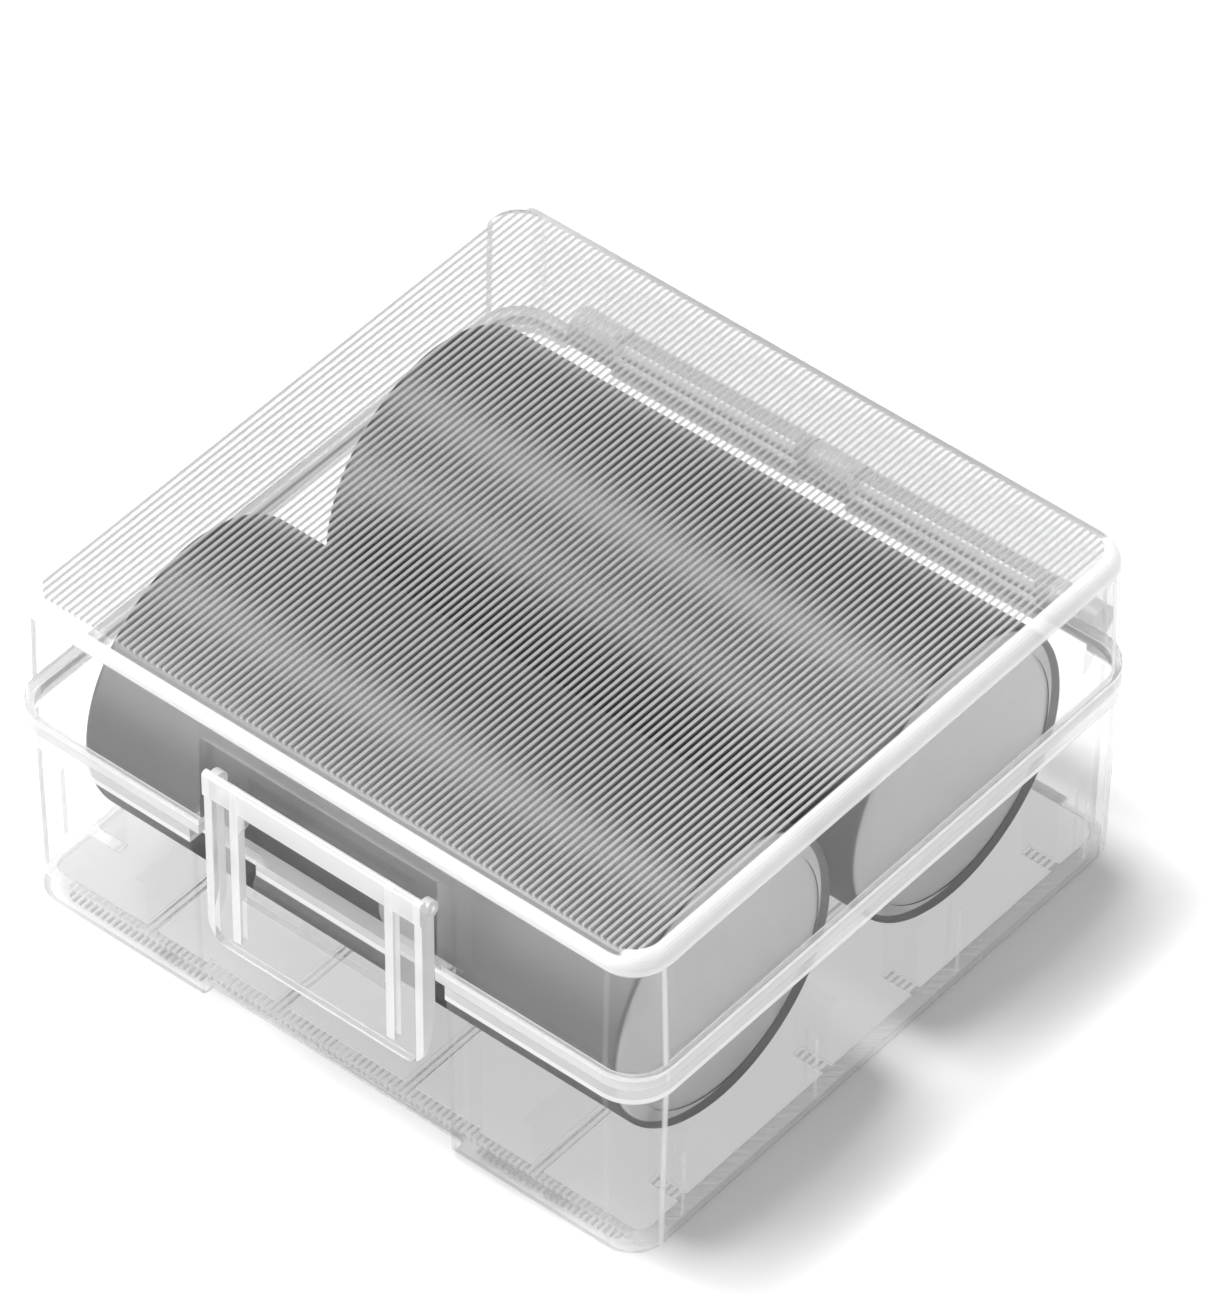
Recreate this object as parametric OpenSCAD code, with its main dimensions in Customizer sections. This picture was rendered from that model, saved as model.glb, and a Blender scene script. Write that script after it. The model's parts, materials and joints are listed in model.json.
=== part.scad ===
// Hinged and latched storage case for two wrapped cylindrical cells.
// The front is at -Y, where the latch is. The cells lie along X. Lengths are millimetres.

/* [Cells] */
// Diameter of a cell over its sleeve
cell_d = 32.2; // [26.5:0.1:36]
// Length of a cell over its sleeve
cell_l = 67.6; // [56:0.1:78]
// Gap between the two cells
cell_gap = 3.2; // [1.5:0.1:6]
// Thickness of the shrink sleeve
sleeve_t = 0.16; // [0.1:0.02:0.3]
// Width of the sleeve's turned-in lip over each end
sleeve_lip = 2.2; // [1:0.1:3]
// Radius of the can's rolled end edge
can_edge_r = 0.8; // [0.4:0.1:1.2]
// Diameter of the raised positive cap
cap_d = 13; // [8:0.5:14]
// Height of the raised positive cap
cap_h = 0.9; // [0.5:0.1:1.4]
// Distance of the can's groove from its positive end
groove_at = 3.2; // [2.5:0.1:5]
// Radius of the can's groove
groove_r = 0.9; // [0.5:0.1:1.2]
// Hole through the insulating washer
washer_hole_d = 15; // [14.5:0.5:18]
// Thickness of the insulating washer
washer_t = 0.25; // [0.15:0.05:0.4]
// Gap that keeps the sleeve and washer clear of the can
wrap_gap = 0.03; // [0.02:0.01:0.06]

/* [Room round the cells] */
// Room between the cells' ends and the end walls
end_room = 4.8; // [3.9:0.1:8]
// Room between the cells' sides and the front and back walls
side_room = 2.65; // [2.5:0.05:3.5]
// Room between the cells and the base's floor
floor_room = 2.4; // [1.5:0.1:5]
// Room between the cells and the lid's top
crown_room = 2.6; // [1.5:0.1:6]
// Height of the seam above the cells' axes
seam_rise = 3.7; // [2.5:0.1:5]

/* [Walls] */
// Thickness of the side walls
wall = 1.3; // [1:0.05:1.4]
// Radius of the upright corners at the seam
corner_r = 4.6; // [3.5:0.1:7]
// Lean of the walls away from the seam, degrees
draft = 1.2; // [0.5:0.05:2]
// Thickness of the base's floor
floor_t = 1.9; // [1.5:0.1:2.4]
// Thickness of the lid's top
top_t = 1.9; // [1.4:0.1:2.2]
// Radius of the outer edge round the lid's top
top_edge_r = 1.8; // [1:0.1:2.6]
// Radius of the outer edge round the underside
foot_edge_r = 1.2; // [0.6:0.1:1.4]

/* [Seam] */
// Height of each of the two rims that meet at the seam
rim_h = 1.8; // [1.2:0.1:2.4]
// How far the rims stand out from the walls
rim_out = 0.25; // [0.1:0.05:0.5]
// Height of the base's tongue inside the lid
tongue_h = 1.2; // [0.8:0.1:1.8]
// Thickness of the tongue
tongue_t = 0.55; // [0.4:0.05:0.6]
// Clearance between the tongue and the lid
tongue_gap = 0.12; // [0.08:0.01:0.2]
// Gap left between the two rims
seam_gap = 0.08; // [0.04:0.01:0.15]

/* [Ribbed panels] */
// Distance from one fine rib to the next
rib_pitch = 0.755; // [0.6:0.005:1.5]
// Width of a rib's flat crest
rib_crest = 0.3; // [0.2:0.02:0.34]
// Width of the groove's flat bottom
rib_root = 0.13; // [0.06:0.01:0.2]
// Depth of the grooves
rib_depth = 0.3; // [0.15:0.05:0.5]
// Plain border round the ribbed panel on the lid
rib_border = 1.6; // [1.5:0.1:4]
// Plain border at the grooves' ends under the base
foot_border = 1.6; // [1.5:0.1:4]
// Plain border beside the grooves under the base
foot_side = 2.9; // [2.6:0.1:4]
// Cut across the corners of the ribbed panel
rib_chamfer = 1.8; // [1:0.1:5]

/* [Cell seats] */
// Clearance between the cells and what holds them
seat_gap = 0.12; // [0.05:0.01:0.3]
// Thickness of the cradle and end ribs
seat_t = 1.4; // [1:0.1:2]
// Distance of the inner cradle ribs from the middle
cradle_in_x = 8.2; // [6:0.1:12]
// Distance of the outer cradle ribs from the cells' ends
cradle_inset = 9.1; // [4:0.1:12]
// Height of the cradle ribs
cradle_h = 9.6; // [7:0.1:12]
// Distance of the end ribs from a cell's axis
end_rib_y = 10.9; // [8:0.1:12]
// Height of the end ribs
end_rib_h = 11.7; // [8:0.1:16]

/* [Front recess] */
// Room between the front cell and the wall behind the recess
recess_room = 0.4; // [0.3:0.05:0.5]
// Gap beside the latch in the base's part of the recess
recess_side = 2.4; // [1.6:0.1:4]
// Gap beside the latch in the lid's part of the recess
lid_side = 1.2; // [0.6:0.1:3]
// Height of the recess above the seam
recess_rise = 12.1; // [11.4:0.1:13]
// Rise of the slope that closes the recess
recess_slope = 1.2; // [0.6:0.1:2]
// How far the base's rim stands out behind the latch
recess_rim = 0.75; // [0.4:0.05:0.8]
// Side gap between the catch and the latch's outer ribs
catch_side = 0.8; // [0.7:0.1:3]
// Height of the catch below the seam
catch_h = 4.75; // [3.5:0.05:4.8]
// Height of the ramp that leads the latch over the catch
catch_ramp = 0.9; // [0.4:0.1:1.5]
// How far the catch stands out from its head
catch_step = 0.45; // [0.2:0.05:0.6]
// Clearance of the catch behind the latch's plate
catch_gap = 0.12; // [0.08:0.01:0.3]

/* [Latch] */
// Width of the latch
latch_w = 27.4; // [22.5:0.1:33]
// Height of the latch's lower edge below the seam
latch_drop = 13; // [11:0.1:15]
// Height of the latch's upper edge above the seam
latch_rise = 9.85; // [9.6:0.05:9.9]
// How far the bar and ribs stand in front of the walls
latch_out = 0.9; // [0.8:0.05:1.2]
// Thickness of the latch's bar
bar_t = 0.95; // [0.8:0.05:1]
// Height of the latch's bar
bar_h = 3.0; // [2.4:0.1:3.2]
// How far the bar and ribs stand out from the plate
bar_step = 0.25; // [0.15:0.05:0.35]
// Width of the two outer ribs
latch_rib_w = 1.05; // [0.8:0.05:1.4]
// Distance of the outer ribs from the latch's sides
latch_rib_in = 3.95; // [3:0.05:5]
// Height of the outer ribs' lower ends above the latch's lower edge
latch_rib_foot = 2.0; // [1.2:0.1:4]
// Height of the window's lower edge below the seam
window_drop = 4.9; // [4.85:0.05:6]
// Width of the gussets in the window's upper corners
gusset_w = 0.65; // [0.3:0.05:1]
// Height of the gussets
gusset_h = 2.8; // [1.5:0.1:4]
// Depth of the latch over its side flanges
flange_d = 2.0; // [1.7:0.05:2.1]
// Thickness of the side flanges
flange_t = 0.95; // [0.8:0.05:1.1]
// Height above the latch's lower edge where the flanges have their whole depth
flange_taper = 5.9; // [4:0.1:8]
// Height above the latch's lower edge where the flanges' taper starts
flange_foot = 2.2; // [1.5:0.1:3]
// Radius of the latch's lower corners
latch_corner_r = 2.8; // [2:0.1:4]

/* [Latch pivot] */
// Height of the pivot above the seam
pivot_rise = 7.9; // [7.8:0.05:8.1]
// Depth of the pivot behind the latch's front
pivot_d = 1.6; // [1.55:0.05:1.65]
// Radius of the stub pins
pivot_r = 0.5; // [0.4:0.05:0.55]
// Running clearance round the pins
pivot_gap = 0.06; // [0.03:0.01:0.09]
// Radius of the ears round the pins
ear_r = 1.1; // [1:0.05:1.15]
// How far the pins' ends lie inside the flanges' outer faces
pin_in = 0.25; // [0.1:0.05:0.5]
// Distance of the pin block's ends from the latch's sides
block_in = 3.2; // [2.2:0.1:5]
// Height of the block's rear edge above the pivot
block_rise = 0.8; // [0.5:0.05:0.8]
// Depth of the block's slanting top behind the pivot
block_slant = 0.7; // [0.6:0.05:1]
// Width of the two webs under the block
block_web = 0.5; // [0.3:0.1:1]

/* [Back hinge] */
// Distance of the hinge axis behind the rims
hinge_out = 2.3; // [2.3:0.05:2.6]
// Radius of the pin bar
hinge_pin_r = 1.0; // [0.8:0.05:1.1]
// Running clearance round the pin bar
hinge_gap = 0.08; // [0.04:0.01:0.1]
// Outer radius of the knuckles and lugs
knuckle_r = 2.0; // [1.8:0.05:2.0]
// Length of each knuckle on the lid
knuckle_l = 23.6; // [16:0.1:26]
// Width of the lugs on the base
lug_w = 6; // [4:0.1:8]
// Side clearance between a lug and a knuckle
lug_gap = 0.35; // [0.25:0.05:0.6]
// Width of the mouth that the knuckle snaps on by
mouth_w = 1.5; // [1.2:0.05:1.6]
// How far the lugs' webs reach down the wall from the axis
lug_drop = 5.2; // [4:0.1:7]
// How far the knuckles' webs reach up the wall from the axis
knuckle_rise = 3.8; // [3:0.1:4]
// Slant of the lugs' webs, degrees round the knuckle
lug_slant = 35; // [20:1:50]
// Slant of the knuckles' webs, degrees round the knuckle
knuckle_slant = 70; // [60:1:80]

/* [Hidden] */
$fn = 48;
// Small overlap that keeps joined shapes from meeting in a bare face
eps = 0.01;
// Steps in a rounded edge of a profile
edge_steps = 8;
// Cells: the radius, the axes' places and the can inside its sleeve
cell_r = cell_d / 2;
cell_y = (cell_d + cell_gap) / 2;
cell_z = floor_t + floor_room + cell_r;
can_r = cell_r - sleeve_t - wrap_gap;
can_l = cell_l - 2 * sleeve_t - 2 * wrap_gap - washer_t;
can_foot = -cell_l / 2 + sleeve_t + washer_t + wrap_gap;
washer_foot = can_foot - washer_t;
// Where the end ribs stop the cells
end_stop_x = cell_l / 2 + seat_gap;
// Half sizes of the walls at the seam, the heights, and the places of the corners' centres
wall_hl = cell_l / 2 + end_room + wall;
wall_hw = cell_y + cell_r + side_room + wall;
seam_z = cell_z + seam_rise;
case_h = cell_z + cell_r + crown_room + top_t;
corner_x = wall_hl - corner_r;
corner_y = wall_hw - corner_r;
lean = tan(draft);
// Recess: its half widths, its floor, the inner face behind it and its upper end
recess_hw = latch_w / 2 + recess_side;
lid_recess_hw = latch_w / 2 + lid_side;
recess_in_y = -(cell_y + cell_r + recess_room);
recess_y = recess_in_y - wall;
recess_top = seam_z + recess_rise;
// Latch: its front, the plate's inner face, its heights and its pivot
latch_y = -(wall_hw + latch_out);
plate_y = latch_y + bar_t;
latch_foot = seam_z - latch_drop;
latch_top = seam_z + latch_rise;
latch_rib_x = latch_w / 2 - latch_rib_in;
window_hw = latch_rib_x - latch_rib_w / 2;
window_foot = seam_z - window_drop;
window_top = latch_top - bar_h;
pivot_y = latch_y + pivot_d;
pivot_z = seam_z + pivot_rise;
block_hw = latch_w / 2 - block_in;
// Catch: its half width and its front
catch_hw = window_hw - catch_side;
catch_y = plate_y + catch_gap;
// Hinge axis, and the places of the knuckles and lugs along it
hinge_y = wall_hw + rim_out + hinge_out;
knuckle_x = lug_w / 2 + lug_gap + knuckle_l / 2;
lug_x = knuckle_x + knuckle_l / 2 + lug_gap + lug_w / 2;
// Middle of the whole object in Y, which the origin stands under
mid_y = (hinge_y + knuckle_r + latch_y) / 2;
PLASTIC = [0.9, 0.92, 0.93, 0.55];

// Distance of the wall's outer face from the corner's centre at height z
function out_r(z) = corner_r - lean * abs(z - seam_z);
function in_r(z) = out_r(z) - wall;
// Points of an arc
function arc(cx, cy, r, a0, a1) =
    [for (i = [0 : edge_steps]) let (a = a0 + (a1 - a0) * i / edge_steps)
        [cx + r * cos(a), cy + r * sin(a)]];
// Rounded edge between a leaning wall and a flat top (up = 1) or bottom (up = -1)
function edge(wall_r, z_flat, r, up) =
    let (zc = z_flat - up * r, a = up * draft)
    arc(wall_r - r / cos(draft), zc, r, up > 0 ? a : -90, up > 0 ? 90 : a);

// Carries a profile of radius and height right round a rectangle with round corners
module around(z0, z1) {
    for (sx = [-1, 1], sy = [-1, 1])
        translate([sx * corner_x, sy * corner_y, 0])
            rotate_extrude() children();
    for (a = [0, 180]) rotate([0, 0, a]) translate([corner_x, 0, 0])
        rotate([90, 0, 0]) linear_extrude(2 * corner_y, center = true) children();
    for (a = [90, 270]) rotate([0, 0, a]) translate([corner_y, 0, 0])
        rotate([90, 0, 0]) linear_extrude(2 * corner_x, center = true) children();
    translate([-corner_x - eps, -corner_y - eps, z0])
        cube([2 * (corner_x + eps), 2 * (corner_y + eps), z1 - z0]);
}

// Box in the recess, from one depth to another and one height to another
module recess_box(hw, y0, y1, z0, z1) {
    translate([-hw, y0, z0]) cube([2 * hw, y1 - y0, z1 - z0]);
}

// Outline in Y and Z, carried along X
module bar_x(hw, points) {
    rotate([90, 0, 90]) linear_extrude(2 * hw, center = true) polygon(points);
}

module rod_x(length, r, y, z) {
    translate([0, y, z]) rotate([0, 90, 0]) cylinder(h = length, r = r, center = true);
}

// Comb of grooves along Y, with its back above the panel that it cuts
module groove_comb(half_l, half_w) {
    n = floor((2 * half_l - rib_crest) / rib_pitch);
    slope = (rib_pitch - rib_crest - rib_root) / 2;
    x0 = -n * rib_pitch / 2;
    teeth = [for (i = [0 : n - 1]) let (x = x0 + i * rib_pitch)
        each [[x + rib_crest / 2, 0], [x + rib_crest / 2 + slope, -rib_depth],
              [x + rib_crest / 2 + slope + rib_root, -rib_depth],
              [x + rib_pitch - rib_crest / 2, 0]]];
    comb = concat([[x0, 1], [x0, 0]], teeth, [[-x0, 0], [-x0, 1]]);
    intersection() {
        rotate([90, 0, 0]) linear_extrude(2 * half_w, center = true) polygon(comb);
        translate([0, 0, -1]) linear_extrude(3) polygon([
            [-half_l, rib_chamfer - half_w], [rib_chamfer - half_l, -half_w],
            [half_l - rib_chamfer, -half_w], [half_l, rib_chamfer - half_w],
            [half_l, half_w - rib_chamfer], [half_l - rib_chamfer, half_w],
            [rib_chamfer - half_l, half_w], [-half_l, half_w - rib_chamfer]]);
    }
}

module base_outer() {
    around(0, seam_z + tongue_h) polygon(concat(
        [[0, 0]], edge(out_r(foot_edge_r), 0, foot_edge_r, -1),
        [[out_r(seam_z - rim_h), seam_z - rim_h - rim_out],
         [corner_r + rim_out, seam_z - rim_h], [corner_r + rim_out, seam_z],
         [in_r(seam_z) + tongue_t, seam_z],
         [in_r(seam_z) + tongue_t, seam_z + tongue_h], [0, seam_z + tongue_h]]));
}

module base_inner() {
    above = seam_z + tongue_h + 1;
    around(floor_t, above) polygon([
        [0, floor_t], [in_r(floor_t) - foot_edge_r / 2, floor_t],
        [in_r(floor_t + foot_edge_r / 2), floor_t + foot_edge_r / 2],
        [in_r(seam_z), seam_z], [in_r(seam_z), above], [0, above]]);
}

// One rib that both cells lie in, standing across the floor
module cradle_rib(x) {
    hw = corner_y + in_r(floor_t) + wall / 2;
    difference() {
        translate([x - seat_t / 2, -hw, floor_t - wall / 2])
            cube([seat_t, 2 * hw, cradle_h - floor_t + wall / 2]);
        for (y = [-cell_y, cell_y])
            rod_x(4 * cell_l, cell_r + seat_gap, y, cell_z);
    }
}

// One upright rib that stops the end of a cell
module end_rib(side, y) {
    foot_x = corner_x + in_r(floor_t) + wall / 2;
    depth = foot_x - end_stop_x;
    translate([side * (end_stop_x + depth / 2), y, floor_t + (end_rib_h - floor_t) / 2 - wall / 4])
        cube([depth, seat_t, end_rib_h - floor_t + wall / 2], center = true);
}

// Lug on the base that carries the pin bar
module hinge_lug(x, w) {
    translate([x, 0, 0]) {
        rod_x(w, knuckle_r, hinge_y, seam_z);
        bar_x(w / 2, [
            [wall_hw - wall / 2, seam_z - lug_drop],
            [wall_hw + rim_out, seam_z - lug_drop],
            [hinge_y + knuckle_r * cos(lug_slant), seam_z - knuckle_r * sin(lug_slant)],
            [hinge_y, seam_z], [hinge_y - hinge_pin_r, seam_z - seam_gap],
            [wall_hw - wall / 2, seam_z - seam_gap]]);
    }
}

// Grooves under the base, which stop short of the walls' feet and of the recess
module foot_grooves() {
    half_w = wall_hw - foot_border - lean * seam_z;
    difference() {
        mirror([0, 0, 1]) groove_comb(wall_hl - foot_side - lean * seam_z, half_w);
        recess_box(recess_hw + wall, -2 * wall_hw, recess_y + wall / 2, -1, floor_t);
    }
}

// Catch with a ramp below its head, which the latch's window passes over
module catch() {
    head_y = catch_y + catch_step;
    bar_x(catch_hw, [
        [recess_y + eps, seam_z], [head_y, seam_z], [head_y, seam_z - rim_h],
        [catch_y, seam_z - rim_h - catch_ramp], [catch_y, seam_z - catch_h],
        [recess_y + eps, seam_z - catch_h]]);
}

module base() {
    color(PLASTIC) translate([0, -mid_y, 0]) {
        difference() {
            union() {
                difference() {
                    base_outer();
                    difference() {
                        base_inner();
                        recess_box(recess_hw + wall, -2 * wall_hw, recess_in_y, 0, seam_z);
                    }
                }
                for (x = [cradle_in_x, cell_l / 2 - cradle_inset], s = [-1, 1]) cradle_rib(s * x);
                for (s = [-1, 1], c = [-1, 1], e = [-1, 1]) end_rib(s, c * cell_y + e * end_rib_y);
            }
            recess_box(recess_hw, -2 * wall_hw, recess_y, -1, seam_z + tongue_h + 1);
            foot_grooves();
        }
        recess_box(recess_hw + eps, recess_y - recess_rim, recess_y + eps, seam_z - rim_h, seam_z);
        catch();
        rod_x(2 * lug_x + lug_w, hinge_pin_r, hinge_y, seam_z);
        hinge_lug(0, lug_w);
        for (s = [-1, 1]) hinge_lug(s * lug_x, lug_w);
    }
}

module lid_outer() {
    foot = seam_z + seam_gap;
    around(foot, case_h) polygon(concat(
        [[0, foot], [corner_r + rim_out, foot], [corner_r + rim_out, seam_z + rim_h],
         [out_r(seam_z + rim_h), seam_z + rim_h + rim_out]],
        edge(out_r(case_h - top_edge_r), case_h, top_edge_r, 1), [[0, case_h]]));
}

module lid_inner() {
    under = case_h - top_t;
    inner_r = top_edge_r - wall / 2;
    around(seam_z - 1, under) polygon(concat(
        [[0, seam_z - 1], [in_r(seam_z), seam_z - 1], [in_r(seam_z), seam_z]],
        edge(in_r(under - inner_r), under, inner_r, 1), [[0, under]]));
}

// Room for the base's tongue, cut into the foot of the lid's wall
module tongue_room() {
    room_top = seam_z + tongue_h + tongue_gap;
    difference() {
        around(seam_z - 1, room_top) polygon([
            [0, seam_z - 1], [in_r(seam_z) + tongue_t + tongue_gap, seam_z - 1],
            [in_r(seam_z) + tongue_t + tongue_gap, room_top], [0, room_top]]);
        around(seam_z - 2, room_top + 1) polygon([
            [0, seam_z - 2], [in_r(seam_z) - tongue_gap, seam_z - 2],
            [in_r(seam_z) - tongue_gap, room_top + 1], [0, room_top + 1]]);
    }
}

// Block on the lid with the two stub pins that the latch turns on, and the webs under it
module hinge_block() {
    rod_x(latch_w - 2 * pin_in, pivot_r, pivot_y, pivot_z);
    bar_x(block_hw, [
        [pivot_y, pivot_z - pivot_r], [pivot_y, pivot_z + pivot_r],
        [pivot_y + block_slant, pivot_z + block_rise], [recess_y + eps, pivot_z + block_rise],
        [recess_y + eps, pivot_z - pivot_r]]);
    for (s = [-1, 1]) translate([s * (block_hw - block_web / 2), 0, 0])
        recess_box(block_web / 2, recess_y - recess_rim, recess_y + eps, seam_z + rim_h, pivot_z);
}

// Open knuckle on the lid, snapped over the pin bar
module knuckle(x) {
    translate([x, 0, 0]) difference() {
        union() {
            rod_x(knuckle_l, knuckle_r, hinge_y, seam_z);
            bar_x(knuckle_l / 2, [
                [wall_hw - wall / 2, seam_z + seam_gap + rim_out], [hinge_y, seam_z + seam_gap + rim_out],
                [hinge_y + knuckle_r * cos(knuckle_slant), seam_z + knuckle_r * sin(knuckle_slant)],
                [wall_hw + rim_out, seam_z + knuckle_rise],
                [wall_hw - wall / 2, seam_z + knuckle_rise]]);
        }
        rod_x(knuckle_l + 1, hinge_pin_r + hinge_gap, hinge_y, seam_z);
        translate([0, hinge_y, seam_z]) rotate([-45, 0, 0]) translate([0, knuckle_r, 0])
            cube([knuckle_l + 1, 2 * knuckle_r, mouth_w], center = true);
    }
}

module lid() {
    slope_y = -(wall_hw + 1);
    color(PLASTIC) translate([0, -mid_y, 0]) {
        difference() {
            lid_outer();
            difference() {
                lid_inner();
                recess_box(lid_recess_hw + wall, -2 * wall_hw, recess_in_y, seam_z - 1, recess_top + wall);
            }
            bar_x(lid_recess_hw, [
                [recess_y, seam_z - 1], [recess_y, recess_top - recess_slope],
                [slope_y, recess_top + (recess_y - slope_y) - recess_slope], [slope_y, seam_z - 1]]);
            tongue_room();
            translate([0, 0, case_h]) groove_comb(
                wall_hl - rib_border - lean * (case_h - seam_z),
                wall_hw - rib_border - lean * (case_h - seam_z));
        }
        hinge_block();
        for (s = [-1, 1]) knuckle(s * knuckle_x);
    }
}

// Outline of the latch seen from the front, moved in by an inset
module latch_outline(inset) {
    hw = latch_w / 2 - inset;
    r = latch_corner_r - inset;
    for (s = [-1, 1]) translate([s * (hw - r), latch_foot + inset + r]) circle(r);
    translate([r - hw, latch_foot + inset]) square([2 * (hw - r), r]);
    translate([-hw, latch_foot + inset + r])
        square([2 * hw, latch_top - bar_t / 2 - latch_foot - inset - r]);
}

// Moves a front outline to a depth behind the latch's front
module at_depth(d, t) {
    translate([0, latch_y + d + t, 0]) rotate([90, 0, 0]) linear_extrude(t) children();
}

module latch_plate() {
    round_r = bar_t / 2;
    at_depth(bar_step, bar_t - bar_step) difference() {
        latch_outline(0);
        translate([-window_hw, window_foot]) square([2 * window_hw, latch_top]);
    }
    bar_x(latch_w / 2, concat([[latch_y, window_top], [plate_y, window_top]],
        arc(latch_y + round_r, latch_top - round_r, round_r, 0, 180)));
    for (s = [-1, 1]) {
        translate([s * latch_rib_x, 0, 0])
            recess_box(latch_rib_w / 2, latch_y, plate_y, latch_foot + latch_rib_foot, window_top + eps);
        at_depth(0, bar_t) polygon([
            [s * (window_hw + eps), window_top + eps], [s * (window_hw - gusset_w), window_top + eps],
            [s * (window_hw - gusset_w), window_top - gusset_h / 2],
            [s * (window_hw + eps), window_top - gusset_h]]);
    }
}

// Side flanges that grow shallow towards the round lower corners
module latch_flanges() {
    back_y = latch_y + flange_d;
    intersection() {
        at_depth(bar_step, flange_d - bar_step) difference() {
            latch_outline(0);
            latch_outline(flange_t);
            translate([-latch_w, pivot_z]) square([2 * latch_w, latch_top]);
        }
        bar_x(latch_w, [
            [latch_y, latch_foot - 1], [plate_y + eps, latch_foot - 1], [plate_y + eps, latch_foot + flange_foot],
            [back_y, latch_foot + flange_taper], [back_y, latch_top], [latch_y, latch_top]]);
    }
    for (s = [-1, 1]) translate([s * (latch_w - flange_t) / 2, 0, 0])
        rod_x(flange_t, ear_r, pivot_y, pivot_z);
}

module latch() {
    color(PLASTIC) translate([0, -mid_y, 0]) difference() {
        union() {
            latch_plate();
            latch_flanges();
        }
        rod_x(2 * latch_w, pivot_r + pivot_gap, pivot_y, pivot_z);
        recess_box(latch_w / 2 - flange_t, plate_y, 0, latch_foot + 2 * flange_t, latch_top + 1);
    }
}

// Places what is made along X at a cell's axis
module at_cell(side) {
    translate([0, side * cell_y - mid_y, cell_z]) rotate([0, 90, 0]) children();
}

// Steel can with rolled edges, its groove near the positive end and its raised cap
module cell_can(side) {
    color("gainsboro") at_cell(side) difference() {
        union() {
            rotate_extrude() polygon(concat(
                [[0, can_foot]], arc(can_r - can_edge_r, can_foot + can_edge_r, can_edge_r, -90, 0),
                arc(can_r - can_edge_r, can_foot + can_l - can_edge_r, can_edge_r, 0, 90),
                [[0, can_foot + can_l]]));
            translate([0, 0, can_foot - cap_h]) cylinder(h = cap_h + 1, d = cap_d);
        }
        rotate_extrude() translate([can_r + groove_r / 2, can_foot + groove_at]) circle(groove_r);
    }
}

// Shrink sleeve with a lip turned in over each end
module cell_sleeve(side) {
    color("dimgray") at_cell(side) difference() {
        rotate_extrude() polygon(concat(
            [[0, -cell_l / 2]],
            arc(cell_r - can_edge_r, can_edge_r - cell_l / 2, can_edge_r, -90, 0),
            arc(cell_r - can_edge_r, cell_l / 2 - can_edge_r, can_edge_r, 0, 90), [[0, cell_l / 2]]));
        rotate_extrude() polygon(concat(
            [[0, washer_foot - wrap_gap]],
            arc(can_r + wrap_gap - can_edge_r, washer_foot - wrap_gap + can_edge_r, can_edge_r, -90, 0),
            arc(can_r + wrap_gap - can_edge_r, can_foot + can_l + wrap_gap - can_edge_r, can_edge_r, 0, 90),
            [[0, can_foot + can_l + wrap_gap]]));
        cylinder(h = 2 * cell_l, r = cell_r - sleeve_lip, center = true);
    }
}

// Insulating washer between the can's positive end and the sleeve's lip
module cell_washer(side) {
    color("white") at_cell(side) translate([0, 0, washer_foot]) difference() {
        cylinder(h = washer_t - wrap_gap, r = can_r - can_edge_r);
        translate([0, 0, -1]) cylinder(h = 3, d = washer_hole_d);
    }
}

base();
lid();
latch();
cell_can(-1);  // front_cell_can
cell_sleeve(-1);  // front_cell_sleeve
cell_washer(-1);  // front_cell_washer
cell_can(1);  // rear_cell_can
cell_sleeve(1);  // rear_cell_sleeve
cell_washer(1);  // rear_cell_washer
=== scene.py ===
"""Looks of the clear two-cell storage case: plastics, cells, floor, light and camera, round the CAD frame."""
import json
import math

import bpy
from mathutils import Matrix, Vector


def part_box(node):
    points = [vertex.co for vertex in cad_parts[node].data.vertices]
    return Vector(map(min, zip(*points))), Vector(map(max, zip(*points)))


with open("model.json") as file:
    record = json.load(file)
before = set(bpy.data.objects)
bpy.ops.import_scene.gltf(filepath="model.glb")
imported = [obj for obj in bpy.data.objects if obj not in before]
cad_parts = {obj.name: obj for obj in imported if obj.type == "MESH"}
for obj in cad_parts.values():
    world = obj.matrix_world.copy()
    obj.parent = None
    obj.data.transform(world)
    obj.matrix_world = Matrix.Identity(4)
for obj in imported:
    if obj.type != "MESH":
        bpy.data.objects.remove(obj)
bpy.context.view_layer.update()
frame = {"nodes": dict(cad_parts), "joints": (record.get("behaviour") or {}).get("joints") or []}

MM = 0.001
X, Y, Z = 0, 1, 2

# Camera, as fitted to the straight edges of the photographed case
CAM_AZIMUTH = 40.005
CAM_ELEVATION = 44.757
CAM_ROLL = 0.098
CAM_DISTANCE = 1058.97 * MM
CAM_RIGHT = 3.074 * MM
CAM_UP = 21.11 * MM
CAM_LENS = 297.66
CAM_NEAR = 0.05
CAM_FAR = 20.0
FRAME_HEIGHT = 36.0

# Sizes of the case in millimetres, as in its solids, and the lean of its walls
CELL_R = 16.1
WALL_T = 1.3
CORNER_R = 4.6
LEAN = 0.0209
RIM_H = 1.83
RIM_OUT = 0.25
PANEL_IN = 1.95
RECESS_ROOM = 0.4
RECESS_SIDE = 2.4
RIB_ENDS_Y = (10.9, 30.8)
BAR_H = 3.0
LATCH_RIB_IN = 3.95


def box_mm(node):
    """Lowest and highest corner of a CAD node in millimetres."""
    return [[value / MM for value in corner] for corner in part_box(node)]


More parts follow.
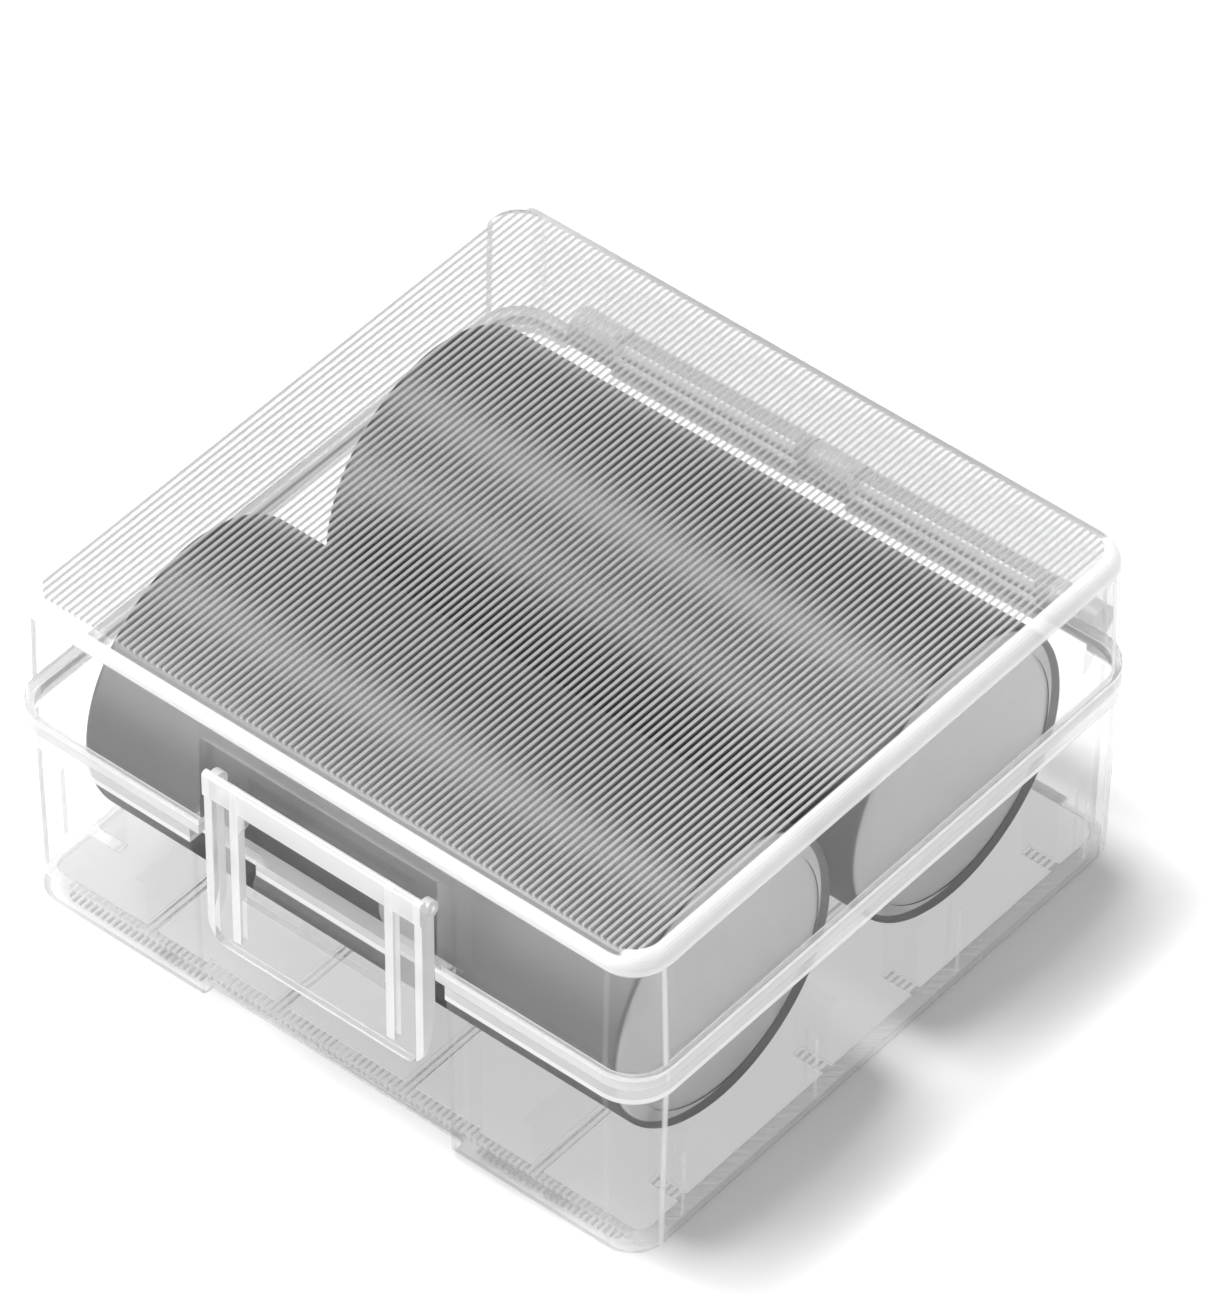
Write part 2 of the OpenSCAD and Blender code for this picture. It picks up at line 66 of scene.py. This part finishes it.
# Places on the case in millimetres, from the frame, with y counted from the middle between the cells
BASE_LOW, BASE_HIGH = box_mm("base")
LATCH_LOW, LATCH_HIGH = box_mm("latch")
REAR_LOW, REAR_HIGH = box_mm("rear_cell_sleeve")
FRONT_LOW = box_mm("front_cell_sleeve")[0]
LID_HINGE = next(joint for joint in frame["joints"] if joint["name"] == "lid_hinge")
MIDDLE_Y = -(FRONT_LOW[Y] + REAR_HIGH[Y]) / 2
SEAM_Z = LID_HINGE["pos_m"][Z] / MM
TOP_Z = box_mm("lid")[1][Z]
WALL_X = BASE_HIGH[X] - RIM_OUT
WALL_Y = -BASE_LOW[Y] - MIDDLE_Y - RIM_OUT
CELL_Y = (REAR_LOW[Y] - FRONT_LOW[Y]) / 2
CELL_Z = FRONT_LOW[Z] + CELL_R
PANEL_X = WALL_X - PANEL_IN
PANEL_Y = WALL_Y - PANEL_IN
LATCH_X = LATCH_HIGH[X]
LATCH_FOOT = LATCH_LOW[Z]
BAR_FOOT = LATCH_HIGH[Z] - BAR_H
LATCH_RIB_X = LATCH_X - LATCH_RIB_IN
RECESS_X = LATCH_X + RECESS_SIDE
RECESS_Y = CELL_Y + CELL_R + RECESS_ROOM + WALL_T
CASE_MIDDLE = Vector((0.0, -MIDDLE_Y * MM, 0.0))

# Steps of the shades by depth in mm under the outer wall, each from where it starts to where it is full
SKIN = (0.75, 0.6)
TOP_SKIN = (0.85, 0.65)
END_SKIN = (1.6, 1.4)
VEIL_SKIN = (1.1, 0.9)
GLARE_SKIN = (1.4, 1.0)

# Steps by the upward share of the normal, which is 1 on level faces and 0 on walls
GROOVE_FLANK = (0.995, 0.95)
VEILED_WALL = (0.9, 0.5)
LID_GLOW_WALL = (0.8, 0.5)
GLOW_WALL = (0.7, 0.4)
LINED_WALL = (0.6, 0.4)

# Step by the facing value of the view, which is 1 on faces seen edge on
EDGE_ON = (0.6, 1.0)

# Clear and frosted plastic, and the painted soft light of its upright walls
CLEAR_GREY = 0.46
FROST_GREY = 0.84
CLEAR_ROUGH = 0.16
FROST_ROUGH = 0.42
FROST_ALPHA = 0.97
WALL_PAINTED_GLOW = 0.16
THROUGH_GREY = 0.87
PLASTIC_IOR = 1.49
PLASTIC_SPECULAR = 0.35

# Floor and lights, in metres; a row holds name, place, diameter, watts and whether matt faces are lit
WHITE = (1.0, 1.0, 1.0, 1.0)
WORLD_LIGHT = 0.36
FLOOR_SIDE = 6.0
FLOOR_GLOW = 0.14
LIGHT_AIM = Vector((0.0, 0.0, 0.02))
LIGHTS = (
    ("key", (-0.36, -0.06, 0.97), 0.3, 12.5, True),
    ("sheen_high", (0.1, -0.8, 0.8), 0.8, 9.0, False),
    ("sheen_low", (-0.6, -0.95, 0.35), 0.8, 22.0, False),
)


class Sums:
    """Writes sums of shader values as nodes of one tree."""

    def __init__(self, tree):
        self.tree = tree

    def put(self, node, given):
        for socket, value in zip(node.inputs, given):
            if isinstance(value, (int, float)):
                socket.default_value = value
            else:
                self.tree.links.new(value, socket)
        return node.outputs[0]

    def do(self, operation, *given):
        node = self.tree.nodes.new("ShaderNodeMath")
        node.operation = operation
        return self.put(node, given)

    def times(self, first, *others):
        for other in others:
            first = self.do("MULTIPLY", first, other)
        return first

    def most(self, first, *others):
        for other in others:
            first = self.do("MAXIMUM", first, other)
        return first

    def rise(self, value, step, low=0.0, high=1.0, zero=0.0):
        """Smooth change from low at the step's start to high at its end, both counted from zero."""
        start, end = step
        node = self.tree.nodes.new("ShaderNodeMapRange")
        node.interpolation_type = "SMOOTHSTEP"
        return self.put(node, (value, zero + start, zero + end, low, high))

    def band(self, value, stretch, zero=0.0):
        """One on a stretch given by its start, its end and its softness, counted from zero."""
        start, end, soft = stretch
        return self.times(self.rise(value, (start - soft, start + soft), zero=zero),
                          self.rise(value, (end + soft, end - soft), zero=zero))

    def share(self, amount, low, high):
        """Value between low and high by an amount from 0 to 1."""
        node = self.tree.nodes.new("ShaderNodeMapRange")
        return self.put(node, (amount, 0.0, 1.0, low, high))


def new_group(name, inputs, outputs):
    """Node group with float inputs and the outputs named with their kinds."""
    tree = bpy.data.node_groups.new(name, "ShaderNodeTree")
    for label in inputs:
        tree.interface.new_socket(label, in_out="INPUT", socket_type="NodeSocketFloat")
    for label, kind in outputs:
        tree.interface.new_socket(label, in_out="OUTPUT", socket_type="NodeSocket" + kind)
    return tree, tree.nodes.new("NodeGroupInput"), tree.nodes.new("NodeGroupOutput")


PLACES = ("X", "Y", "Z", "Side X", "Side Y", "Up", "Depth")


def make_place_group():
    """Point of the case in mm, its distances from the middle, the normal's upward share and the depth."""
    tree, _given, out = new_group("case_place", (), [(label, "Float") for label in PLACES])
    sums = Sums(tree)
    at = tree.nodes.new("ShaderNodeTexCoord")
    place = tree.nodes.new("ShaderNodeSeparateXYZ")
    normal = tree.nodes.new("ShaderNodeSeparateXYZ")
    tree.links.new(at.outputs["Object"], place.inputs[0])
    tree.links.new(at.outputs["Normal"], normal.inputs[0])
    x, y, z = (sums.times(place.outputs[axis], 1 / MM) for axis in "XYZ")
    y = sums.do("ADD", y, MIDDLE_Y)
    side_x, side_y = sums.do("ABSOLUTE", x), sums.do("ABSOLUTE", y)
    lean = sums.times(sums.do("ABSOLUTE", sums.do("SUBTRACT", z, SEAM_Z)), LEAN)
    past = [sums.most(sums.do("ADD", sums.do("SUBTRACT", side, wall - CORNER_R), lean), 0.0)
            for side, wall in ((side_x, WALL_X), (side_y, WALL_Y))]
    reach = sums.do("SQRT", sums.do("ADD", *[sums.times(value, value) for value in past]))
    depth = sums.do("SUBTRACT", CORNER_R, reach)
    found = (x, y, z, side_x, side_y, sums.do("ABSOLUTE", normal.outputs["Z"]), depth)
    for label, value in zip(PLACES, found):
        tree.links.new(value, out.inputs[label])
    return tree


def use_place(tree, *labels):
    """The named place values of the case inside another tree."""
    node = tree.nodes.new("ShaderNodeGroup")
    node.node_tree = PLACE_GROUP
    return [node.outputs[label] for label in labels]


# Outputs of the groups; the last one is painted light, which the plastic emits though it is no lamp
FROST_OUTPUTS = (("Color", "Color"), ("Alpha", "Float"), ("Roughness", "Float"), ("Painted Glow", "Color"))


def finish_frost_and_painted_light(tree, given, out, frost_and_highlight, veil, glare, painted_glow, shade=1.0):
    """Turn whiteness, veil and painted light into the colour, alpha and roughness of milky plastic and a
    painted soft light that it emits, and whiten faces seen edge on with a painted reflection.
    """
    sums = Sums(tree)
    # Painted reflection: faces seen edge on turn white by the glare share
    frost_and_highlight = sums.most(frost_and_highlight, sums.times(sums.rise(given.outputs["Facing"], EDGE_ON), glare))
    outputs = {"Color": sums.times(sums.share(frost_and_highlight, CLEAR_GREY, FROST_GREY), shade), "Painted Glow": painted_glow}
    for label, grey in outputs.items():
        colour = tree.nodes.new("ShaderNodeCombineColor")
        for channel in colour.inputs:
            tree.links.new(grey, channel)
        tree.links.new(colour.outputs["Color"], out.inputs[label])
    opaque = sums.do("ADD", veil, sums.times(frost_and_highlight, sums.do("SUBTRACT", FROST_ALPHA, veil)))
    tree.links.new(opaque, out.inputs["Alpha"])
    tree.links.new(sums.share(frost_and_highlight, CLEAR_ROUGH, FROST_ROUGH), out.inputs["Roughness"])


# Painted highlights of the round corners, as upright lines: start, end and softness in mm past the end of the
# flat wall
CORNER_HIGHLIGHT = (0.3, 1.0, 0.2)
FAINT_HIGHLIGHT = (0.0, 0.6, 0.15)
FAINT_SHARE = 0.2
HIGHLIGHT_WHITE = 0.7


def corner_highlights(sums, side_x, side_y, up, outer):
    """Painted highlights: bright upright lines where the flat walls run into the round corners, faint ones on
    the long walls.
    """
    faint = sums.times(sums.band(side_x, FAINT_HIGHLIGHT, zero=WALL_X - CORNER_R), FAINT_SHARE)
    lines = sums.most(faint, sums.band(side_y, CORNER_HIGHLIGHT, zero=WALL_Y - CORNER_R))
    return sums.times(lines, outer, sums.rise(up, LINED_WALL, 0.0, HIGHLIGHT_WHITE))


# Lid: steps in mm from the top, the panel's border, the seam, the end walls and the back wall
LID_GROOVES_Z = (-0.45, -0.4)
LID_EDGE_Z = (-2.2, -1.9)
LID_STRIP_Z = (-0.9, -0.6)
PANEL_EDGE = (0.1, -0.1)
LID_RIM_Z = (RIM_H + 0.1, RIM_H)
LID_CREST_Z = (1.2, RIM_H, 0.1)
END_EDGE_X = (-4.1, -3.3)
BACK_WALL_Y = (-0.75, -0.45)
# Painted reflection on the groove flanks
FLANK_REFLECTION_WHITE = 0.95
EDGE_WHITE = 0.9
STRIP_WHITE = 0.25
LID_RIM_WHITE = 0.6
LID_CREST_WHITE = 0.9
LID_VEIL = (0.03, 0.2)
INNER_VEIL_SHARE = 0.3
BACK_VEIL = 0.4
LID_GLARE = (0.05, 0.5)
# Painted soft light on the end edges
END_EDGE_PAINTED_GLOW = 0.12


def make_lid_group():
    """Whiteness on the lid: frosted edge round the top and seam rim, painted reflections on the groove
    flanks, painted corner highlights and painted soft light.
    """
    tree, given, out = new_group("lid_frost_and_painted_light", ("Facing",), FROST_OUTPUTS)
    sums = Sums(tree)
    y, z, side_x, side_y, up, depth = use_place(tree, "Y", "Z", "Side X", "Side Y", "Up", "Depth")
    outer = sums.rise(depth, SKIN)
    panel = sums.times(sums.rise(side_x, PANEL_EDGE, zero=PANEL_X),
                       sums.rise(side_y, PANEL_EDGE, zero=PANEL_Y))
    # Painted reflection: the groove flanks on the panel are whitened
    flank_reflection = sums.times(sums.rise(z, LID_GROOVES_Z, zero=TOP_Z), panel,
                       sums.rise(up, GROOVE_FLANK, 0.0, FLANK_REFLECTION_WHITE))
    ends = sums.times(sums.rise(side_x, END_EDGE_X, zero=WALL_X), sums.rise(depth, END_SKIN))
    edge = sums.times(sums.rise(z, LID_EDGE_Z, zero=TOP_Z), sums.most(ends, sums.rise(depth, TOP_SKIN)))
    strip = sums.times(sums.rise(z, LID_STRIP_Z, zero=TOP_Z), sums.do("SUBTRACT", 1.0, panel))
    border = sums.most(sums.times(edge, EDGE_WHITE), sums.times(strip, STRIP_WHITE))
    rim = sums.times(outer, sums.rise(z, LID_RIM_Z, 0.0, LID_RIM_WHITE, zero=SEAM_Z))
    crest = sums.times(outer, sums.band(z, LID_CREST_Z, zero=SEAM_Z), LID_CREST_WHITE)
    frost_and_highlight = sums.most(flank_reflection, border, rim, crest, corner_highlights(sums, side_x, side_y, up, outer))
    veil = sums.times(sums.rise(depth, VEIL_SKIN, INNER_VEIL_SHARE, 1.0),
                      sums.rise(up, VEILED_WALL, *LID_VEIL))
    veil = sums.most(veil, sums.times(outer, sums.rise(y, BACK_WALL_Y, 0.0, BACK_VEIL, zero=WALL_Y)))
    glare = sums.rise(depth, GLARE_SKIN, *LID_GLARE)
    # Painted soft light: the upright walls and the end edges glow though they are no lamp
    painted_glow = sums.most(sums.rise(up, LID_GLOW_WALL, 0.0, WALL_PAINTED_GLOW), sums.times(edge, ends, END_EDGE_PAINTED_GLOW))
    finish_frost_and_painted_light(tree, given, out, frost_and_highlight, veil, glare, painted_glow)
    return tree


# Base: steps in mm from its foot, the case's middle, the seam, the end walls and the front recess
BASE_RIM_Z = (-RIM_H - 0.1, -RIM_H)
BASE_CREST_Z = (-RIM_H, -1.1, 0.1)
COMB_Z = (0.4, 0.35)
COMB_Y = (-34.5, -34.9)
FOOT_Z = (1.3, 0.6)
RIB_END_Y = (-0.3, 0.3, 0.1)
RIB_END_Z = (2.4, 11.4, 0.4)
RIB_END_X = (-1.6, 0.5, 0.2)
PLATE_Z = (2.3, 2.0)
PLATE_FRONT_Y = (-34.9, -34.5)
PLATE_DEPTH = (1.0, 1.4)
BEHIND_LATCH_Y = (0.15, 0.05)
BEHIND_LATCH_X = (0.2, 0.0)
BASE_RIM_WHITE = 0.68
BASE_CREST_WHITE = 0.92
# Painted reflection on the front ends of the underside grooves
COMB_REFLECTION_WHITE = 0.85
FOOT_WHITE = 0.3
RIB_END_WHITE = 0.45
BASE_VEIL = (0.04, 0.15)
PLATE_VEIL = 0.9
LEAST_VEIL = 0.02
FRONT_PLATE_SHARE = 0.1
BASE_GLARE = (0.02, 0.5)
# Painted soft light of the plate, brighter towards the left end, and how much of its own colour is kept
PLATE_PAINTED_GLOW_X = (-40.0, 10.0)
PLATE_PAINTED_GLOW = (0.74, 0.56)
PLATE_SHADE = 0.22


def behind_latch(sums, y, side_x):
    """One on the faces in the front recess, where the rims run on behind the latch."""
    return sums.times(sums.rise(y, BEHIND_LATCH_Y, zero=-RECESS_Y),
                      sums.rise(side_x, BEHIND_LATCH_X, zero=RECESS_X))


def make_base_group():
    """Whiteness on the base: frosted seam rim and ribs' edges, painted corner highlights, painted reflections
    on the grooves' front ends and painted soft light.
    """
    tree, given, out = new_group("base_frost_and_painted_light", ("Facing",), FROST_OUTPUTS)
    sums = Sums(tree)
    x, y, z, side_x, side_y, up, depth = use_place(tree, *PLACES)
    skin = sums.rise(depth, SKIN)
    outer = sums.most(skin, behind_latch(sums, y, side_x))
    rim = sums.times(outer, sums.rise(z, BASE_RIM_Z, 0.0, BASE_RIM_WHITE, zero=SEAM_Z))
    crest = sums.times(outer, sums.band(z, BASE_CREST_Z, zero=SEAM_Z), BASE_CREST_WHITE)
    # Painted reflection: the flanks of the underside grooves are whitened near the front, as short ticks
    comb_reflection = sums.times(sums.rise(z, COMB_Z), sums.rise(y, COMB_Y),
                      sums.rise(up, GROOVE_FLANK, 0.0, COMB_REFLECTION_WHITE))
    foot = sums.times(skin, sums.rise(z, FOOT_Z, 0.0, FOOT_WHITE))
    rib_ends = sums.times(sums.most(*[sums.band(side_y, RIB_END_Y, zero=at) for at in RIB_ENDS_Y]),
                          sums.band(z, RIB_END_Z), RIB_END_WHITE, sums.band(side_x, RIB_END_X, zero=WALL_X))
    frost_and_highlight = sums.most(rim, crest, comb_reflection, foot, rib_ends, corner_highlights(sums, side_x, side_y, up, skin))
    plate = sums.times(sums.rise(z, PLATE_Z), sums.rise(y, PLATE_FRONT_Y, FRONT_PLATE_SHARE, 1.0),
                       sums.rise(depth, PLATE_DEPTH))
    wall_veil = sums.times(skin, sums.rise(up, VEILED_WALL, *BASE_VEIL))
    veil = sums.most(wall_veil, sums.times(plate, PLATE_VEIL), LEAST_VEIL)
    glare = sums.rise(depth, GLARE_SKIN, *BASE_GLARE)
    # Painted soft light: the plate glows evenly over the cells' shadows, brighter towards the left end, and
    # the upright walls glow too
    painted_glow = sums.most(sums.times(plate, sums.rise(x, PLATE_PAINTED_GLOW_X, *PLATE_PAINTED_GLOW)),
                     sums.rise(up, GLOW_WALL, 0.0, WALL_PAINTED_GLOW))
    # The plate's own colour is darkened, so that its painted soft light rather than the lamps sets its
    # brightness
    shade = sums.rise(plate, (0.0, 1.0), 1.0, PLATE_SHADE)
    finish_frost_and_painted_light(tree, given, out, frost_and_highlight, veil, glare, painted_glow, shade)
    return tree


# Latch: steps in mm from the bar's foot, the ribs' middles, the flanges' outsides and the lower edge
BAR_Z = (-0.1, 0.1)
LATCH_RIB = (-0.55, 0.55, 0.08)
LATCH_RIB_FOOT_Z = (1.9, 2.1)
FLANGE_X = (-1.05, -0.9)
LOWER_EDGE_Z = (0.45, 0.25)
BAR_SHARE = 0.85
LATCH_WHITE = 0.74
LATCH_VEIL = 0.34
LATCH_GLARE = 0.5
# Painted soft light of the latch's upright faces
LATCH_PAINTED_GLOW = 0.2


def make_latch_group():
    """Frost on the latch: the bar, the two ribs, the flanges and the lower edge."""
    tree, given, out = new_group("latch_frost_and_painted_light", ("Facing",), FROST_OUTPUTS)
    sums = Sums(tree)
    z, side_x, up = use_place(tree, "Z", "Side X", "Up")
    bar = sums.times(sums.rise(z, BAR_Z, zero=BAR_FOOT), BAR_SHARE)
    rib = sums.times(sums.band(side_x, LATCH_RIB, zero=LATCH_RIB_X),
                     sums.rise(z, LATCH_RIB_FOOT_Z, zero=LATCH_FOOT))
    flange = sums.rise(side_x, FLANGE_X, zero=LATCH_X)
    lower_edge = sums.rise(z, LOWER_EDGE_Z, zero=LATCH_FOOT)
    frost_and_highlight = sums.times(sums.most(bar, rib, flange, lower_edge), LATCH_WHITE)
    # Painted soft light on the latch's upright faces, though it is no lamp
    painted_glow = sums.rise(up, GLOW_WALL, 0.0, LATCH_PAINTED_GLOW)
    finish_frost_and_painted_light(tree, given, out, frost_and_highlight, LATCH_VEIL, LATCH_GLARE, painted_glow)
    return tree


# Grain: for each output of its group, the noise's detail and how much finer it is than the given scale
GRAIN_NOISES = (("Amount", 3.0, 1.0), ("Height", 1.0, 3.0))
ROUGH_SPREAD = 0.05
RELIEF = 0.1 * MM


def make_grain_group():
    """Fine uneven grain in the object's own place: an amount for shades and a height for bumps."""
    outputs = [(row[0], "Float") for row in GRAIN_NOISES]
    tree, given, out = new_group("fine_grain", ("Scale", "Stretch"), outputs)
    sums = Sums(tree)
    at = tree.nodes.new("ShaderNodeTexCoord")
    parts = tree.nodes.new("ShaderNodeSeparateXYZ")
    place = tree.nodes.new("ShaderNodeCombineXYZ")
    tree.links.new(at.outputs["Object"], parts.inputs[0])
    tree.links.new(sums.times(parts.outputs["X"], given.outputs["Stretch"]), place.inputs["X"])
    tree.links.new(parts.outputs["Y"], place.inputs["Y"])
    tree.links.new(parts.outputs["Z"], place.inputs["Z"])
    for label, detail, finer in GRAIN_NOISES:
        noise = tree.nodes.new("ShaderNodeTexNoise")
        noise.inputs["Detail"].default_value = detail
        tree.links.new(place.outputs[0], noise.inputs["Vector"])
        tree.links.new(sums.times(given.outputs["Scale"], finer), noise.inputs["Scale"])
        tree.links.new(noise.outputs["Fac"], out.inputs[label])
    return tree


def make_camera():
    """Place the camera at the photograph's viewing angle."""
    az, el, roll = (math.radians(a) for a in (CAM_AZIMUTH, CAM_ELEVATION, CAM_ROLL))
    back = Vector((math.sin(az) * math.cos(el), -math.cos(az) * math.cos(el), math.sin(el)))
    right = Vector((math.cos(az), math.sin(az), 0.0))
    up = back.cross(right)
    place = CASE_MIDDLE + back * CAM_DISTANCE + right * CAM_RIGHT + up * CAM_UP
    turned_right = right * math.cos(roll) + up * math.sin(roll)
    turned_up = up * math.cos(roll) - right * math.sin(roll)
    lens = bpy.data.cameras.new("camera")
    lens.sensor_fit = "VERTICAL"
    lens.sensor_height = FRAME_HEIGHT
    lens.lens = CAM_LENS
    lens.clip_start = CAM_NEAR
    lens.clip_end = CAM_FAR
    camera = bpy.data.objects.new("camera", lens)
    axes = Matrix((turned_right, turned_up, back)).transposed().to_4x4()
    camera.matrix_world = Matrix.Translation(place) @ axes
    bpy.context.collection.objects.link(camera)
    bpy.context.scene.camera = camera


def new_material(name):
    """Empty material with its nodes, its links and its Principled shader."""
    material = bpy.data.materials.new(name)
    material.use_nodes = True
    nodes = material.node_tree.nodes
    return material, nodes, material.node_tree.links, nodes["Principled BSDF"]


def milky_plastic(name, group):
    """Clear plastic, frosted and given painted highlights, painted reflections and painted soft light where
    its group says, and a plain tinted sheet to all rays but the camera's.
    """
    material, nodes, links, shader = new_material(name)
    frost_and_highlight = nodes.new("ShaderNodeGroup")
    frost_and_highlight.node_tree = group
    facing = nodes.new("ShaderNodeLayerWeight")
    links.new(facing.outputs["Facing"], frost_and_highlight.inputs["Facing"])
    links.new(frost_and_highlight.outputs["Color"], shader.inputs["Base Color"])
    links.new(frost_and_highlight.outputs["Alpha"], shader.inputs["Alpha"])
    links.new(frost_and_highlight.outputs["Roughness"], shader.inputs["Roughness"])
    # The painted soft light goes into the emission, though the plastic is no lamp
    links.new(frost_and_highlight.outputs["Painted Glow"], shader.inputs["Emission Color"])
    shader.inputs["Emission Strength"].default_value = 1.0
    shader.inputs["IOR"].default_value = PLASTIC_IOR
    shader.inputs["Specular IOR Level"].default_value = PLASTIC_SPECULAR
    through = nodes.new("ShaderNodeBsdfTransparent")
    through.inputs["Color"].default_value = (THROUGH_GREY, THROUGH_GREY, THROUGH_GREY, 1.0)
    rays = nodes.new("ShaderNodeLightPath")
    mix = nodes.new("ShaderNodeMixShader")
    links.new(rays.outputs["Is Camera Ray"], mix.inputs["Fac"])
    links.new(through.outputs["BSDF"], mix.inputs[1])
    links.new(shader.outputs["BSDF"], mix.inputs[2])
    links.new(mix.outputs["Shader"], nodes["Material Output"].inputs["Surface"])
    return material


def grained(name, dark, light, roughness, scale, stretch=1.0, metallic=0.0, bump=0.0):
    """Solid surface whose shade, roughness and height follow the fine grain between two values."""
    material, nodes, links, shader = new_material(name)
    grain = nodes.new("ShaderNodeGroup")
    grain.name = "grain"
    grain.node_tree = GRAIN_GROUP
    grain.inputs["Scale"].default_value = scale
    grain.inputs["Stretch"].default_value = stretch
    shade = nodes.new("ShaderNodeMix")
    shade.data_type = "RGBA"
    shade.inputs["A"].default_value = (*dark, 1.0)
    shade.inputs["B"].default_value = (*light, 1.0)
    links.new(grain.outputs["Amount"], shade.inputs["Factor"])
    links.new(shade.outputs["Result"], shader.inputs["Base Color"])
    rough = nodes.new("ShaderNodeMapRange")
    rough.inputs["To Min"].default_value = roughness - ROUGH_SPREAD
    rough.inputs["To Max"].default_value = roughness + ROUGH_SPREAD
    links.new(grain.outputs["Amount"], rough.inputs["Value"])
    links.new(rough.outputs["Result"], shader.inputs["Roughness"])
    shader.inputs["Metallic"].default_value = metallic
    if bump:
        relief = nodes.new("ShaderNodeBump")
        relief.inputs["Strength"].default_value = bump
        relief.inputs["Distance"].default_value = RELIEF
        links.new(grain.outputs["Height"], relief.inputs["Height"])
        links.new(relief.outputs["Normal"], shader.inputs["Normal"])
    return material


# Sleeve's end fold: painted light grey inside a circle that lies higher and nearer the front than the cell's
# end, so that a crescent of painted shade stays dark
LIT_FRONT = 1.2
LIT_UP = 1.5
LIT_R = (15.5, 15.3)
END_FACE = (0.5, 0.8)
FOLD_LIT_GREY = (0.7, 0.7, 0.695, 1.0)
FOLD_GRAIN = 0.04


def make_fold_light_group():
    """Colour of the sleeve: dark film, painted light grey on its end folds but for a crescent of painted
    shade on their lower rear side.
    """
    tree, given, out = new_group("sleeve_fold_painted_light", ("Amount",), (("Pale", "Float"),))
    sums = Sums(tree)
    at = tree.nodes.new("ShaderNodeTexCoord")
    normal = tree.nodes.new("ShaderNodeSeparateXYZ")
    tree.links.new(at.outputs["Normal"], normal.inputs[0])
    y, z, side_y = use_place(tree, "Y", "Z", "Side Y")
    across = sums.times(sums.do("SUBTRACT", side_y, CELL_Y), sums.do("SIGN", y))
    across = sums.do("ADD", across, LIT_FRONT)
    high = sums.do("SUBTRACT", z, CELL_Z + LIT_UP)
    reach = sums.do("SQRT", sums.do("ADD", sums.times(across, across), sums.times(high, high)))
    fold = sums.rise(sums.do("ABSOLUTE", normal.outputs["X"]), END_FACE)
    # Painted light on the end fold inside the shifted circle; the crescent outside it is painted shade
    pale = sums.times(fold, sums.rise(reach, LIT_R))
    grain = sums.times(given.outputs["Amount"], FOLD_GRAIN)
    tree.links.new(sums.times(pale, sums.do("SUBTRACT", 1.0, grain)), out.inputs["Pale"])
    return tree


def sleeve_film():
    """Dark shrink film with a soft sheen and end folds painted light grey, save for a crescent of painted
    shade.
    """
    material = grained("cell_sleeve", (0.026, 0.026, 0.027), (0.04, 0.04, 0.041), roughness=0.46, scale=40.0,
                       stretch=0.3, bump=0.01)
    nodes, links = material.node_tree.nodes, material.node_tree.links
    shader = nodes["Principled BSDF"]
    film = shader.inputs["Base Color"].links[0].from_socket
    fold = nodes.new("ShaderNodeGroup")
    fold.node_tree = make_fold_light_group()
    links.new(nodes["grain"].outputs["Amount"], fold.inputs["Amount"])
    shade = nodes.new("ShaderNodeMix")
    shade.data_type = "RGBA"
    shade.inputs["B"].default_value = FOLD_LIT_GREY
    links.new(fold.outputs["Pale"], shade.inputs["Factor"])
    links.new(film, shade.inputs["A"])
    links.new(shade.outputs["Result"], shader.inputs["Base Color"])
    return material


def can_steel():
    """Pale steel of the cans, its grain drawn out along the cells."""
    return grained("cell_can", (0.66, 0.66, 0.655), (0.76, 0.76, 0.755), roughness=0.45, scale=500.0,
                   stretch=0.1, metallic=0.25, bump=0.04)


def washer_card():
    """Pale card of the insulating washers."""
    return grained("cell_washer", (0.72, 0.72, 0.68), (0.84, 0.84, 0.8), roughness=0.75, scale=300.0,
                   bump=0.15)


def floor_paper():
    """White paper under the case, with a little light of its own."""
    material = grained("floor_paper", (0.93, 0.93, 0.93), (0.95, 0.95, 0.95), roughness=0.9, scale=60.0)
    shader = material.node_tree.nodes["Principled BSDF"]
    shader.inputs["Emission Color"].default_value = WHITE
    shader.inputs["Emission Strength"].default_value = FLOOR_GLOW
    return material


def dress(node, material):
    """Give a CAD node its material."""
    for slot in frame["nodes"][node].material_slots:
        slot.material = material


def clear_selection():
    for piece in bpy.context.selected_objects:
        piece.select_set(False)


def make_floor():
    """White floor under the case, which is no part of it."""
    clear_selection()
    bpy.ops.mesh.primitive_plane_add(size=FLOOR_SIDE, location=(0.0, 0.0, 0.0))
    floor = bpy.context.active_object
    floor.name = "floor"
    floor.data.materials.append(floor_paper())


def area_light(name, place, size, watts, on_matt):
    """Round light that points at the case."""
    data = bpy.data.lights.new(name, "AREA")
    data.shape = "DISK"
    data.size = size
    data.energy = watts
    light = bpy.data.objects.new(name, data)
    light.location = place
    light.rotation_euler = (LIGHT_AIM - Vector(place)).to_track_quat("-Z", "Y").to_euler()
    light.visible_diffuse = on_matt
    bpy.context.collection.objects.link(light)


def make_light():
    """Even light from all round, the key light and the two lights of the cells' sheen."""
    world = bpy.data.worlds.new("studio")
    world.use_nodes = True
    background = world.node_tree.nodes["Background"]
    background.inputs["Color"].default_value = WHITE
    background.inputs["Strength"].default_value = WORLD_LIGHT
    bpy.context.scene.world = world
    for row in LIGHTS:
        area_light(*row)
    bpy.context.scene.view_settings.view_transform = "Standard"


make_camera()
PLACE_GROUP = make_place_group()
GRAIN_GROUP = make_grain_group()
dress("base", milky_plastic("base_plastic", make_base_group()))
dress("lid", milky_plastic("lid_plastic", make_lid_group()))
dress("latch", milky_plastic("latch_plastic", make_latch_group()))
SLEEVE = sleeve_film()
CAN = can_steel()
WASHER = washer_card()
for cell in ("front_cell", "rear_cell"):
    dress(cell + "_sleeve", SLEEVE)
    dress(cell + "_can", CAN)
    dress(cell + "_washer", WASHER)
make_floor()
make_light()
